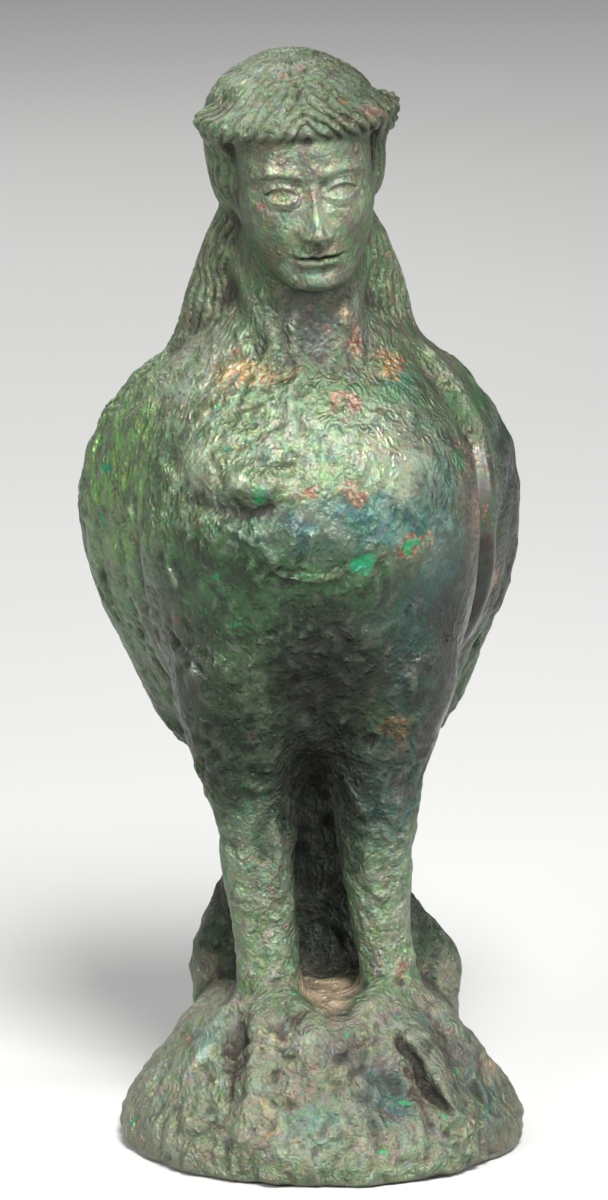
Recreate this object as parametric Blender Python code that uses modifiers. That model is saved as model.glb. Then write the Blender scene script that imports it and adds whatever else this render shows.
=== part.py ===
"""A small solid-cast bronze siren: a bird with a woman's head, standing on a low mound cast in one with it.

Run it with blender --background --python part.py, or from the text editor. It leaves one closed object.
The figure faces -Y. The origin is the middle of the mound's flat underside.
"""

import math

import bpy
import numpy as np
from mathutils import Euler, Matrix, noise

MM = 0.001

# Driving sizes of the mound
MOUND_WIDTH = 29.4 * MM
MOUND_DEPTH = 27.6 * MM
MOUND_HEIGHT = 11.0 * MM
MOUND_RIM = 1.1 * MM  # height of the widest ring above the underside

# Driving size of the figure. Its pose, proportions and carving are written in parts of its height,
# measured up from the top of the mound, and a part is close to a millimetre.
FIGURE_HEIGHT = 69.0 * MM
PARTS = 69.0
PART = FIGURE_HEIGHT / PARTS
LEAN = 0.029  # sideways drift towards -X for each part of height, as the casting leans
LEFT_WING_INSET = 0.3  # the left wing lies this much closer to the body than the right

# Fineness of the modelling
GRAIN = 0.32 * MM  # voxel that fuses the forms
TRIANGLES = 10200
HEAD_CARE = 4.0e-6  # how much the thinning spares the head, in square metres of error to a metre of edge

# Plan sections of the lofted forms: height, x, y, half width, half depth, turn in degrees
BODY = (
    (51.5, 0, 0.5, 4.4, 3.6, 0),
    (49.0, 0, 0.6, 6.6, 4.8, 0),
    (47.0, 0, 0.6, 8.2, 6.0, 0),
    (45.0, 0, 0.5, 9.8, 8.0, 0),
    (43.0, 0, 0.3, 11.0, 9.8, 0),
    (40.5, 0, 0.2, 12.0, 11.3, 0),
    (37.5, 0, 0.3, 12.6, 12.2, 0),
    (34.0, 0, 0.8, 12.8, 12.5, 0),
    (30.5, 0, 1.5, 12.5, 12.0, 0),
    (27.0, 0, 2.1, 11.8, 11.4, 0),
    (23.5, 0, 3.2, 10.6, 10.4, 0),
    (20.0, 0, 3.9, 8.7, 9.4, 0),
    (17.6, 0, 3.7, 6.4, 7.3, 0),
    (15.9, 0, 4.2, 4.6, 5.6, 0),
    (14.8, 0, 5.0, 3.0, 3.8, 0),
)
WING = (
    (49.8, 4.0, 1.2, 2.4, 1.4, 62),
    (47.5, 5.1, 1.4, 5.0, 2.8, 63),
    (44.5, 7.2, 2.2, 7.0, 3.9, 64),
    (41.0, 9.2, 3.2, 8.2, 4.3, 65),
    (36.5, 10.3, 4.4, 8.6, 4.5, 65),
    (32.0, 10.6, 5.3, 8.4, 4.4, 65),
    (27.6, 9.9, 6.2, 8.0, 4.2, 63),
    (22.4, 8.3, 7.6, 6.6, 3.7, 58),
    (18.4, 7.3, 8.4, 5.0, 3.1, 52),
    (15.2, 6.0, 9.6, 3.4, 2.3, 45),
    (13.0, 4.6, 10.6, 1.8, 1.4, 40),
)
TAIL = (
    (36.0, 0.0, 7.0, 4.0, 4.0, 0),
    (30.0, 0.2, 7.8, 5.0, 4.8, 0),
    (24.0, 0.4, 8.8, 5.4, 4.6, 0),
    (20.0, 0.5, 9.5, 5.3, 3.9, 0),
    (16.0, 0.5, 9.9, 5.3, 3.2, 0),
    (12.0, 0.6, 9.6, 5.8, 2.6, 0),
    (8.0, 0.5, 8.6, 6.4, 2.2, 0),
    (5.2, 0.2, 7.8, 7.2, 2.0, 0),
    (3.4, 0.2, 7.4, 8.3, 2.0, 0),
    (1.9, 0.6, 7.2, 9.4, 2.0, 0),
    (0.1, 0.8, 7.0, 10.0, 2.3, 0),
    (-2.8, 0.8, 6.6, 9.8, 2.9, 0),
    (-5.0, 0.8, 6.4, 9.2, 2.9, 0),
)
MANE = (
    (58.5, 0, 3.0, 4.8, 3.4, 0),
    (57.0, 0, 3.2, 5.5, 3.8, 0),
    (54.0, 0, 3.4, 6.9, 4.0, 0),
    (51.0, 0, 3.6, 8.0, 4.2, 0),
    (48.5, 0, 3.8, 8.5, 4.4, 0),
    (46.5, 0, 4.8, 8.5, 4.8, 0),
    (44.0, 0, 6.3, 8.3, 5.3, 0),
    (41.0, 0, 7.6, 7.7, 5.4, 0),
    (39.5, 0, 8.0, 7.3, 5.2, 0),
)
SKULL = (
    (6.0, 0, 0.3, 4.8, 6.0, 0),
    (4.0, 0, 0.2, 5.6, 7.0, 0),
    (1.5, 0, 0.1, 5.6, 7.2, 0),
    (-1.0, 0, -0.6, 5.3, 6.6, 0),
    (-3.5, 0, -1.9, 4.8, 5.3, 0),
    (-5.5, 0, -2.9, 4.1, 4.2, 0),
    (-7.0, 0, -3.7, 3.2, 3.2, 0),
    (-8.0, 0, -4.2, 2.0, 2.2, 0),
)
CAP = (
    (7.6, 0, 0.6, 0.7, 0.8, 0),
    (7.3, 0, 0.6, 1.9, 2.3, 0),
    (6.6, 0, 0.4, 3.3, 4.4, 0),
    (5.7, 0, 0.1, 4.4, 6.3, 0),
    (4.6, 0, 0.1, 5.3, 7.2, 0),
    (3.2, 0, 0.8, 6.1, 7.2, 0),
    (1.2, 0, 1.4, 6.5, 6.9, 0),
    (-1.0, 0, 2.6, 6.3, 5.7, 0),
    (-3.0, 0, 3.4, 5.6, 4.8, 0),
    (-5.0, 0, 3.8, 4.9, 4.2, 0),
)

# Stations of the round tapering bars: x, y, height, radius
NECK = ((0, -0.4, 44.0, 5.2), (0, -0.5, 48.0, 4.5), (0, -0.6, 52.0, 4.2), (0, -0.4, 56.0, 4.4))
TENDON = ((4.4, 1.2, 54.5, 0.9), (3.4, -2.4, 51.5, 1.0), (2.0, -4.0, 48.6, 0.95), (0.7, -4.9, 46.2, 0.8))
LEFT_LEG = (
    (-4.6, -2.4, 32.0, 4.6),
    (-4.9, -2.6, 27.0, 5.4),
    (-5.1, -2.2, 23.5, 5.2),
    (-5.1, -1.9, 20.0, 4.6),
    (-4.8, -1.6, 17.0, 3.9),
    (-4.5, -1.5, 14.0, 3.15),
    (-4.4, -1.4, 10.5, 2.75),
    (-4.3, -1.3, 7.0, 2.55),
    (-4.0, -1.5, 3.5, 2.3),
    (-3.9, -1.9, 0.8, 2.5),
    (-3.9, -2.2, -1.0, 2.8),
)
RIGHT_LEG = (
    (4.6, -2.4, 32.0, 4.6),
    (4.9, -2.6, 27.0, 5.4),
    (5.1, -2.2, 23.5, 5.2),
    (4.7, -1.9, 20.0, 4.3),
    (4.3, -1.6, 17.0, 3.6),
    (4.2, -1.5, 14.0, 3.15),
    (4.1, -1.4, 10.5, 2.7),
    (4.2, -1.3, 7.0, 2.45),
    (4.5, -1.5, 3.5, 2.1),
    (4.7, -1.9, 0.8, 2.3),
    (4.7, -2.2, -1.0, 2.7),
)
FRINGE = (
    (-6.1, 0.6, 2.9, 1.0),
    (-5.7, -2.9, 3.3, 1.1),
    (-3.8, -5.6, 3.9, 1.2),
    (0.0, -6.8, 4.3, 1.2),
    (3.8, -5.6, 3.9, 1.2),
    (5.7, -2.9, 3.3, 1.1),
    (6.1, 0.6, 2.9, 1.0),
)

# Toes lie on the mound: stations of x, y and radius, dropped onto its surface
TOES = (
    ((-4.2, -3.4, 1.5), (-5.0, -6.6, 1.35), (-5.8, -9.0, 1.2), (-6.2, -10.8, 1.05), (-6.3, -11.8, 0.7)),
    ((-3.2, -3.6, 1.4), (-2.0, -5.8, 1.1), (-1.0, -8.2, 1.1), (-0.4, -9.8, 0.8)),
    ((-5.0, -2.6, 1.3), (-7.4, -4.4, 1.0), (-9.8, -5.4, 0.7)),
    ((3.8, -3.6, 1.3), (2.2, -6.2, 1.0), (0.8, -8.6, 1.0)),
    ((5.0, -3.4, 1.4), (6.2, -6.6, 1.25), (7.6, -8.8, 1.1), (9.0, -9.9, 0.8), (9.6, -10.3, 0.5)),
    ((5.6, -2.2, 1.4), (8.4, -3.2, 1.2), (10.8, -3.2, 1.0), (12.4, -3.0, 0.7)),
)


def clear_scene():
    for obj in list(bpy.data.objects):
        bpy.data.objects.remove(obj)


# Frames

def figure_frame():
    """From parts of the figure's height, above the mound, to metres in the model's frame."""
    lean = Matrix.Identity(4)
    lean[0][2] = -LEAN
    return Matrix.Translation((0, 0, MOUND_HEIGHT)) @ Matrix.Scale(PART, 4) @ lean


def head_frame():
    """From parts measured from the middle of the skull to metres: the head turns and tips a little."""
    turn = Euler((math.radians(3), math.radians(-4), math.radians(3)))
    return figure_frame() @ Matrix.Translation((0, -0.8, 61.0)) @ turn.to_matrix().to_4x4()


def within(points, frame):
    """Points in metres, given in the parts of a frame."""
    inverse = np.array(frame.inverted())
    return points @ inverse[:3, :3].T + inverse[:3, 3]


# Forms

def new_form(name, points, faces, frame):
    mesh = bpy.data.meshes.new(name)
    mesh.from_pydata(points, [], faces)
    mesh.transform(frame)
    form = bpy.data.objects.new(name, mesh)
    bpy.context.scene.collection.objects.link(form)
    return form


def spread(stations, count):
    """count stations drawn smoothly through the given ones, evenly by index."""
    table = np.array(stations, float)
    at = np.linspace(0, len(table) - 1, count)
    low = np.clip(at.astype(int), 0, len(table) - 2)
    t = (at - low)[:, None]
    before, here, there, after = (table[np.clip(low + k, 0, len(table) - 1)] for k in (-1, 0, 1, 2))
    return 0.5 * (
        2 * here
        + (there - before) * t
        + (2 * before - 5 * here + 4 * there - after) * t**2
        + (3 * here - before - 3 * there + after) * t**3
    )


def loft(name, sections, frame, squareness=2.0, mirror=1):
    """A closed skin through plan sections, each a superellipse. mirror -1 gives the left-hand copy."""
    sides, rings = 64, 6 * len(sections)
    points = []
    for height, x, y, half_width, half_depth, turn in spread(sections, rings):
        angle = math.radians(turn)
        for k in range(sides):
            c, s = math.cos(math.tau * k / sides), math.sin(math.tau * k / sides)
            across = half_width * math.copysign(abs(c) ** (2 / squareness), c)
            along = half_depth * math.copysign(abs(s) ** (2 / squareness), s)
            px = x + across * math.cos(angle) - along * math.sin(angle)
            py = y + across * math.sin(angle) + along * math.cos(angle)
            points.append((mirror * px, py, height))
    faces = [
        (r * sides + k, r * sides + (k + 1) % sides, (r + 1) * sides + (k + 1) % sides, (r + 1) * sides + k)
        for r in range(rings - 1)
        for k in range(sides)
    ]
    faces.append(tuple(range(sides)))
    faces.append(tuple(range((rings - 1) * sides, rings * sides)))
    return new_form(name, points, faces, frame)


def ellipsoid(name, centre, half_sizes, frame):
    bpy.ops.mesh.primitive_uv_sphere_add(segments=40, ring_count=24, radius=1)
    form = bpy.context.object
    form.name = name
    form.data.transform(frame @ Matrix.Translation(centre) @ Matrix.Diagonal((*half_sizes, 1)))
    return form


def limb(name, stations, frame, mirror=1):
    """A round tapering bar through stations, each x, y, z and radius."""
    curve = bpy.data.curves.new(name, "CURVE")
    curve.dimensions = "3D"
    curve.bevel_depth = 1.0
    curve.bevel_resolution = 6
    curve.use_fill_caps = True
    spline = curve.splines.new("POLY")
    smooth = spread(stations, 5 * len(stations))
    spline.points.add(len(smooth) - 1)
    for point, (x, y, z, radius) in zip(spline.points, smooth):
        point.co = (mirror * x, y, z, 1)
        point.radius = radius
    guide = bpy.data.objects.new(name, curve)
    bpy.context.scene.collection.objects.link(guide)
    graph = bpy.context.evaluated_depsgraph_get()
    mesh = bpy.data.meshes.new_from_object(guide.evaluated_get(graph))
    bpy.data.objects.remove(guide)
    mesh.transform(frame)
    form = bpy.data.objects.new(name, mesh)
    bpy.context.scene.collection.objects.link(form)
    return form


def mound_profile():
    """Radius and height of the mound's turned outline in metres, from below the underside to the top."""
    radius = MOUND_WIDTH / 2
    shares = (
        (1.0, MOUND_RIM),
        (0.985, MOUND_RIM + 0.08 * MOUND_HEIGHT),
        (0.93, 0.31 * MOUND_HEIGHT),
        (0.84, 0.49 * MOUND_HEIGHT),
        (0.74, 0.66 * MOUND_HEIGHT),
        (0.63, 0.85 * MOUND_HEIGHT),
        (0.52, 0.96 * MOUND_HEIGHT),
        (0.40, MOUND_HEIGHT),
        (0.0, MOUND_HEIGHT),
    )
    below = ((0.0, -MOUND_RIM), (0.93, -MOUND_RIM), (0.995, 0.25 * MOUND_RIM))
    return [(share * radius, height) for share, height in (*below, *shares)]


def mound():
    """The low rock, turned and widened to an oval."""
    outline = [(radius, 0.0, height) for radius, height in mound_profile()]
    mesh = bpy.data.meshes.new("mound")
    mesh.from_pydata(outline, [(k, k + 1) for k in range(len(outline) - 1)], [])
    form = bpy.data.objects.new("mound", mesh)
    bpy.context.scene.collection.objects.link(form)
    turned = form.modifiers.new("turn", "SCREW")
    turned.steps = turned.render_steps = 72
    turned.use_merge_vertices = True
    turned.merge_threshold = 0.01 * MM
    bake(form)
    form.data.transform(Matrix.Diagonal((1, MOUND_DEPTH / MOUND_WIDTH, 1, 1)))
    return form


def mound_top(x, y):
    """Height of the mound's surface above its top, in parts, at a place in parts."""
    share = math.hypot(x / MOUND_WIDTH, y / MOUND_DEPTH) * PART * MOUND_WIDTH
    outer = mound_profile()[3:]
    radii = [radius for radius, height in reversed(outer)]
    heights = [height for radius, height in reversed(outer)]
    return (np.interp(share, radii, heights) - MOUND_HEIGHT) / PART


def feet():
    forms = []
    for toe in TOES:
        stations = [(x, y, mound_top(x, y) - 0.15 * radius, radius) for x, y, radius in toe]
        forms.append(limb("toe", stations, figure_frame()))
    return forms


def head():
    frame = head_frame()
    forms = [loft("skull", SKULL, frame, 2.1), loft("cap", CAP, frame, 2.15), limb("fringe", FRINGE, frame)]
    for side in (-1, 1):
        forms.append(ellipsoid("side_hair", (side * 5.3, 1.7, 0.6), (1.2, 4.0, 4.5), frame))
        nostril = ((side * 0.75, -7.1, -3.7, 0.5), (side * 0.8, -7.5, -3.75, 0.5))
        forms.append(limb("nostril", nostril, frame))
    forms.append(ellipsoid("left_knob", (-6.4, -0.9, 3.3), (0.9, 1.3, 1.4), frame))
    forms.append(ellipsoid("right_knob", (6.5, -0.9, 3.1), (1.0, 1.4, 1.9), frame))
    nose = ((0, -6.4, -0.3, 0.5), (0, -6.9, -1.4, 0.5), (0, -7.5, -2.7, 0.62), (0, -8.0, -3.55, 0.85))
    forms.append(limb("nose", nose, frame))
    return forms


def figure():
    frame = figure_frame()
    return [
        loft("body", BODY, frame),
        loft("right_wing", WING, frame, 2.2),
        loft("left_wing", WING, frame @ Matrix.Translation((LEFT_WING_INSET, 0, 0)), 2.2, mirror=-1),
        loft("tail", TAIL, frame, 3.0),
        loft("mane", MANE, frame, 2.3),
        limb("neck", NECK, frame),
        limb("right_tendon", TENDON, frame),
        limb("left_tendon", TENDON, frame, mirror=-1),
        limb("left_leg", LEFT_LEG, frame),
        limb("right_leg", RIGHT_LEG, frame),
        *feet(),
        *head(),
    ]


# One skin

def bake(obj):
    """The object's modifiers made part of its mesh."""
    graph = bpy.context.evaluated_depsgraph_get()
    obj.data = bpy.data.meshes.new_from_object(obj.evaluated_get(graph))
    obj.modifiers.clear()


def fuse(forms):
    """The forms as one skin of even grain."""
    bpy.ops.object.select_all(action="DESELECT")
    for form in forms:
        form.select_set(True)
    bpy.context.view_layer.objects.active = forms[0]
    bpy.ops.object.join()
    whole = bpy.context.object
    remesh = whole.modifiers.new("fuse", "REMESH")
    remesh.mode = "VOXEL"
    remesh.voxel_size = GRAIN
    bake(whole)
    return whole


def points_of(obj):
    points = np.empty(3 * len(obj.data.vertices))
    obj.data.vertices.foreach_get("co", points)
    return points.reshape(-1, 3)


def move_points(obj, points):
    obj.data.vertices.foreach_set("co", points.ravel())
    obj.data.update()


def raise_skin(obj, rise):
    """Moves the skin out along its normals by a rise in parts at each point."""
    normals = np.empty(3 * len(obj.data.vertices))
    obj.data.vertex_normals.foreach_get("vector", normals)
    move_points(obj, points_of(obj) + normals.reshape(-1, 3) * rise[:, None] * PART)


def relax(obj, weight, rounds):
    """Moves each point towards the middle of its neighbours, by its weight."""
    edges = np.empty(2 * len(obj.data.edges), int)
    obj.data.edges.foreach_get("vertices", edges)
    first, second = edges.reshape(-1, 2).T
    points = points_of(obj)
    count = len(points)
    ends = np.bincount(np.concatenate((first, second)), minlength=count)
    for _ in range(rounds):
        middle = np.empty_like(points)
        for axis in range(3):
            values = np.concatenate((points[second, axis], points[first, axis]))
            middle[:, axis] = np.bincount(np.concatenate((first, second)), values, count) / ends
        points += (middle - points) * weight[:, None]
    move_points(obj, points)


# Carving tools, all in parts

def step(values, low, high):
    """0 below low, 1 above high, smooth between. low may be the greater."""
    t = np.clip((values - low) / (high - low), 0, 1)
    return t * t * (3 - 2 * t)


def lump(p, centre, sizes):
    """1 at a centre, fading round it over the three sizes."""
    return np.exp(-(((p - centre) / sizes) ** 2).sum(axis=1))


def stroke(p, path, width, taper=0.25):
    """1 along a path drawn on the skin through the given points, fading beside it and towards its ends."""
    guide = spread(path, 6 * len(path))
    for k, point in enumerate(guide):
        guide[k] = p[np.argmin(((p - point) ** 2).sum(axis=1))]
    reach = 2.6 * width
    near = np.all((p > guide.min(axis=0) - reach) & (p < guide.max(axis=0) + reach), axis=1)
    q = p[near]
    distance = np.full(len(q), 1e9)
    share = np.zeros(len(q))
    for k in range(len(guide) - 1):
        run = guide[k + 1] - guide[k]
        t = np.clip((q - guide[k]) @ run / max(run @ run, 1e-6), 0, 1)
        d = np.linalg.norm(q - guide[k] - t[:, None] * run, axis=1)
        closer = d < distance
        distance[closer] = d[closer]
        share[closer] = ((k + t) / (len(guide) - 1))[closer]
    mark = np.zeros(len(p))
    mark[near] = np.exp(-((distance / width) ** 2)) * step(np.minimum(share, 1 - share), 0, taper)
    return mark


def waves(values, pitch):
    """Rounded ridges with narrow grooves between them, from -1 in a groove to 0 on a ridge."""
    return np.abs(np.cos(math.pi * values / pitch)) ** 0.7 - 1


# Carving

def carve_face(p):
    """Rise of the face above the plain skull, for points in the head's frame."""
    x, z = np.abs(p[:, 0]), p[:, 2]
    q = np.column_stack((x, np.zeros(len(p)), z))
    front = step(p[:, 1], -2.5, -5.0) * step(z, 4.2, 3.2) * step(x, 5.2, 4.2)
    rise = -0.8 * lump(q, (2.15, 0, -0.85), (1.5, 1, 1.0))
    rise -= 0.35 * lump(q, (0.9, 0, -0.9), (0.7, 1, 0.9))
    rise += 0.6 * np.clip(1 - ((x - 2.15) / 1.3) ** 2 - ((z + 1.0) / 0.7) ** 2, 0, 1)
    rise += 0.15 * lump(q, (2.3, 0, 0.45), (1.9, 1, 0.5))
    rise += 0.35 * lump(q, (3.1, 0, -3.0), (1.5, 1, 1.4))
    rise -= 0.30 * lump(q, (2.9, 0, -5.4), (1.0, 1, 1.2))
    rise += 0.45 * lump(q, (0, 0, -5.35), (1.7, 1, 1.0))
    rise += 0.38 * lump(q, (0, 0, -5.05), (1.25, 1, 0.32))
    rise += 0.38 * lump(q, (0, 0, -5.95), (1.05, 1, 0.34))
    rise -= 0.62 * lump(q, (0, 0, -5.48), (1.6, 1, 0.16))
    rise -= 0.35 * lump(q, (0, 0, -6.6), (1.0, 1, 0.32))
    rise += 0.45 * lump(q, (0, 0, -7.5), (1.2, 1, 0.7))
    return rise * front


def carve_hair(p):
    """Rise of the locks on the cap, the fringe and the side hair, for points in the head's frame."""
    x, y, z = p.T
    around = np.arctan2(x, -(y - 0.8))
    crown = step(np.hypot(x, y - 0.8), 1.2, 3.2) * step(z, 2.2, 2.9) * step(y, 2.6, 1.2)
    crown *= np.maximum(step(z, 4.6, 5.2), step(np.hypot(x, y), 5.0, 5.8))
    rise = (0.44 - 0.2 * step(z, 4.6, 6.4)) * crown * waves(around * 6.4 + 0.2 * np.sin(1.5 * z), 1.2)
    rise -= 0.35 * step(z, 5.6, 6.6) * np.exp(-((x / 0.4) ** 2)) * step(y, 1.0, -1.0)
    sides = step(z, 1.9, 1.0) * step(z, -6.4, -5.2) * step(np.abs(x), 4.7, 5.4)
    rise += 0.30 * sides * waves(y + 0.25 * np.sin(1.6 * z), 1.3)
    back = step(z, 4.6, 3.6) * step(y, 1.0, 2.4)
    rise += 0.26 * back * waves(around * 6.0 + 0.2 * np.sin(1.4 * z), 1.35)
    return rise


def carve_mane(p):
    """Rise of the strands behind the neck, for points in the figure's frame."""
    x, y, z = p.T
    x = x + 0.4
    outside = np.maximum(step(np.abs(x), 4.6, 5.4) * step(y, -1.8, -1.2), step(y, 6.2, 7.4))
    zone = outside * step(z, 38.5, 40.0) * step(z, 57.5, 56.0)
    zone *= 1 - step(z, 49.0, 47.5) * step(y, 5.0, 3.0)
    return 0.36 * zone * waves(np.abs(x) - 0.9 * y + 0.3 * np.sin(1.2 * z + x), 1.35)


def carve_wings(p):
    """Rise of the feathers: short rows on the shoulders, long quills below, a groove down the spine."""
    x, y, z = p.T
    outer = step(np.abs(x), 7.5, 9.5) * step(y, -4.5, -1.5) + step(y, 7.0, 9.0)
    wing = np.clip(outer, 0, 1) * step(z, 13.0, 16.0) * step(z, 48.5, 46.0) * step(y, -4.0, -2.0)
    around = np.arctan2(np.abs(x) - 2.0, -(y - 4.0)) * 8.0
    rows = waves(z + 0.5 * np.abs(np.sin(math.pi * around / 2.8)), 3.2)
    quills = waves(around * (0.8 + 0.012 * z) + 0.06 * z, 2.3)
    short = step(z, 32.0, 36.0)
    rise = wing * (0.26 * rows * short * step(y, 0.0, 3.0) + 0.34 * quills * (1 - short))
    rise -= 0.8 * np.exp(-((x / 0.9) ** 2)) * step(y, 8.0, 10.0) * step(z, 12.0, 15.0) * step(z, 38.0, 34.0)
    return rise


def carve_body(p):
    """Rise of the folds, lumps and creases of the breast and legs, for points in the figure's frame."""
    rise = 0.9 * lump(p, (-3.6, -11.0, 39.6), (2.6, 3.0, 1.5))
    rise += 0.4 * lump(p, (-7.6, -9.0, 40.4), (2.4, 3.0, 1.2))
    shelf = ((-9.0, -8.0, 36.2), (-5.6, -10.6, 35.9), (-1.0, -11.9, 36.6), (3.0, -11.6, 36.0))
    rise += 0.5 * stroke(p, shelf, 1.1)
    fold = ((-11.0, -6.0, 41.2), (-8.6, -9.0, 38.4), (-6.0, -10.6, 37.8), (-2.1, -11.6, 38.4))
    rise -= 0.6 * stroke(p, fold, 0.65)
    crease = (
        (-7.5, -9.8, 34.4),
        (-2.7, -11.6, 33.1),
        (-0.4, -11.7, 32.9),
        (2.5, -11.3, 34.3),
        (5.4, -10.0, 34.0),
    )
    rise -= 0.2 * stroke(p, crease, 0.6)
    for side, depth in ((-1, 0.3), (1, 0.8)):
        edge = [
            (side * 5.6, -1.6, 48.6),
            (side * 8.8, -1.8, 47.0),
            (side * 11.2, -2.0, 43.6),
            (side * 12.6, -2.0, 39.5),
            (side * 13.0, -1.6, 34.5),
            (side * 12.8, -0.6, 29.5),
            (side * 11.4, 1.6, 24.5),
            (side * 9.0, 4.0, 18.6),
        ]
        rise -= depth * stroke(p, edge, 0.9)
        rise += 0.6 * depth * stroke(p, [(x, y + 1.9, z) for x, y, z in edge], 1.1)
    rise -= 0.5 * lump(p, (0.2, -6.0, 21.5), (2.0, 4.0, 5.0))
    left_groove = ((-6.0, -4.6, -1.0), (-7.0, -8.4, -3.0), (-7.6, -11.4, -6.5))
    right_groove = ((4.4, -6.6, -1.4), (6.4, -9.4, -4.0), (8.2, -10.6, -7.5))
    for groove in (left_groove, right_groove):
        rise -= 0.5 * stroke(p, groove, 0.6)
    rise -= 0.45 * stroke(p, ((-4.2, -4.4, 14.5), (-4.5, -4.2, 11.0), (-4.6, -4.0, 8.0)), 0.5)
    rise += 0.35 * stroke(p, ((-3.2, -4.0, 13.5), (-3.2, -4.0, 10.5), (-3.4, -3.8, 8.0)), 0.6)
    return rise


def carve_tail(p):
    """Rise of the ridges across the tail's front and the feathers down its back."""
    x, y, z = p.T
    tail = step(y, 3.6, 4.6) * step(z, 16.5, 14.0) * step(z, -3.5, -1.0)
    front = tail * step(y, 8.2, 7.2) * step(z, 1.0, 2.0)
    back = tail * step(y, 7.8, 8.8)
    return 0.25 * front * waves(z + 0.05 * x * x / 3, 2.4) + 0.34 * back * waves(x - 0.7, 2.4)


def roughen(obj):
    """The gentle unevenness of an old casting, stronger on the mound than on the head."""
    points = points_of(obj)
    figure_points = within(points, figure_frame())
    amount = 0.10 + 0.16 * step(figure_points[:, 2], 2.0, -1.0)
    amount *= 1 - 0.75 * step(figure_points[:, 2], 49.0, 53.0)
    swell = np.array([noise.noise(point) for point in (figure_points / 3.4).tolist()])
    fine = np.array([noise.noise(point) for point in (figure_points / 1.5 + 20).tolist()])
    raise_skin(obj, amount * (1.6 * swell + 0.7 * fine))


def carve(obj):
    points = points_of(obj)
    body, face = within(points, figure_frame()), within(points, head_frame())
    on_head = step(face[:, 2], -9.5, -8.0) * step(np.linalg.norm(face, axis=1), 11.5, 10.0)
    relax(obj, 0.5 - 0.42 * on_head, 18)
    raise_skin(obj, carve_body(body) * (1 - on_head))
    points = points_of(obj)
    body, face = within(points, figure_frame()), within(points, head_frame())
    fine = (carve_face(face) + carve_hair(face)) * on_head
    fine += (carve_mane(body) + carve_wings(body) + carve_tail(body)) * (1 - on_head)
    raise_skin(obj, fine)
    roughen(obj)


def thin_out(obj):
    """Fewer, larger facets, sparing the head."""
    face = within(points_of(obj), head_frame())
    far = np.linalg.norm(face, axis=1) > 10.5
    group = obj.vertex_groups.new(name="thinned freely")
    group.add(np.flatnonzero(far).tolist(), 1.0, "REPLACE")
    group.add(np.flatnonzero(~far).tolist(), 0.5, "REPLACE")
    reduce = obj.modifiers.new("facets", "DECIMATE")
    triangles = sum(len(face.vertices) - 2 for face in obj.data.polygons)
    reduce.ratio = TRIANGLES / triangles
    reduce.vertex_group = group.name
    reduce.vertex_group_factor = HEAD_CARE
    bake(obj)
    obj.vertex_groups.clear()


def stand_flat(obj):
    """Cuts the underside flat at the origin's height."""
    bpy.ops.object.select_all(action="DESELECT")
    obj.select_set(True)
    bpy.context.view_layer.objects.active = obj
    bpy.ops.object.mode_set(mode="EDIT")
    bpy.ops.mesh.select_all(action="SELECT")
    bpy.ops.mesh.bisect(plane_co=(0, 0, 0), plane_no=(0, 0, 1), use_fill=True, clear_inner=True)
    bpy.ops.object.mode_set(mode="OBJECT")


def patinated_bronze():
    material = bpy.data.materials.new("patinated_bronze")
    material.use_nodes = True
    shader = material.node_tree.nodes["Principled BSDF"]
    shader.inputs["Base Color"].default_value = (0.13, 0.21, 0.13, 1)
    shader.inputs["Metallic"].default_value = 0.3
    shader.inputs["Roughness"].default_value = 0.5
    return material


def finish(obj):
    """Names the figure and gives it its surface and its collection."""
    obj.name = obj.data.name = "siren_statuette"
    obj.data.shade_smooth()
    obj.data.set_sharp_from_angle(angle=math.radians(60))
    obj.data.materials.clear()
    obj.data.materials.append(patinated_bronze())
    collection = bpy.data.collections.new("siren figure")
    bpy.context.scene.collection.children.link(collection)
    for old in list(obj.users_collection):
        old.objects.unlink(obj)
    collection.objects.link(obj)


def main():
    clear_scene()
    siren = fuse([mound(), *figure()])
    carve(siren)
    thin_out(siren)
    stand_flat(siren)
    finish(siren)


main()
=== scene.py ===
"""The looks of a small cast bronze siren: its finer carving, its corrosion, and its patina with light and
shade painted into its colour.

Lengths in the carving are in millimetres. The figure's frame has its origin on the mound's top and leans with
the casting. The head's frame has its origin in the middle of the skull and turns with the head.
"""

import math

import bpy
import numpy as np
from mathutils import Euler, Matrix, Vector, noise


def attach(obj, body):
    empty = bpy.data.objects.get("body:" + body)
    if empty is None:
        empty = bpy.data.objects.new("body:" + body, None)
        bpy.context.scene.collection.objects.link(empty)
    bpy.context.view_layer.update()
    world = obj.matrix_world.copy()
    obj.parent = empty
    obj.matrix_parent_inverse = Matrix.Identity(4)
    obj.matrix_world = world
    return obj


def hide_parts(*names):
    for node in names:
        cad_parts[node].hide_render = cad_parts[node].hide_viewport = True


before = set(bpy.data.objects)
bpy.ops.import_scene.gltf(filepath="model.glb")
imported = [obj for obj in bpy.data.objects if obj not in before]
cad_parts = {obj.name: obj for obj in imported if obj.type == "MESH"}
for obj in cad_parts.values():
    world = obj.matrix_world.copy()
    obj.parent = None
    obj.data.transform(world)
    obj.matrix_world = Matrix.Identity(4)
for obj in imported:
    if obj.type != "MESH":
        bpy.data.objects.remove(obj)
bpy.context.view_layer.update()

MM = 0.001
MOUND_TOP = 11.0
LEAN = 0.029
HEAD_PLACE = np.array((0, -0.8, 61.0))
HEAD_TURN = np.array(Euler((math.radians(3), math.radians(-4), math.radians(3))).to_matrix())
HEAD_REACH = 11.2

GRAIN = 0.23  # voxel of the fused skin; the head is twice as fine
MOST_TRIANGLES = 196000
LEVEL_UNDERSIDE = 0.0

EYE_ACROSS = 2.15  # the eyes' middles, either side of the nose
EYE_HALF = 1.14
MOUTH_UP = -5.5
MOUTH_HALF = 1.66

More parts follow.
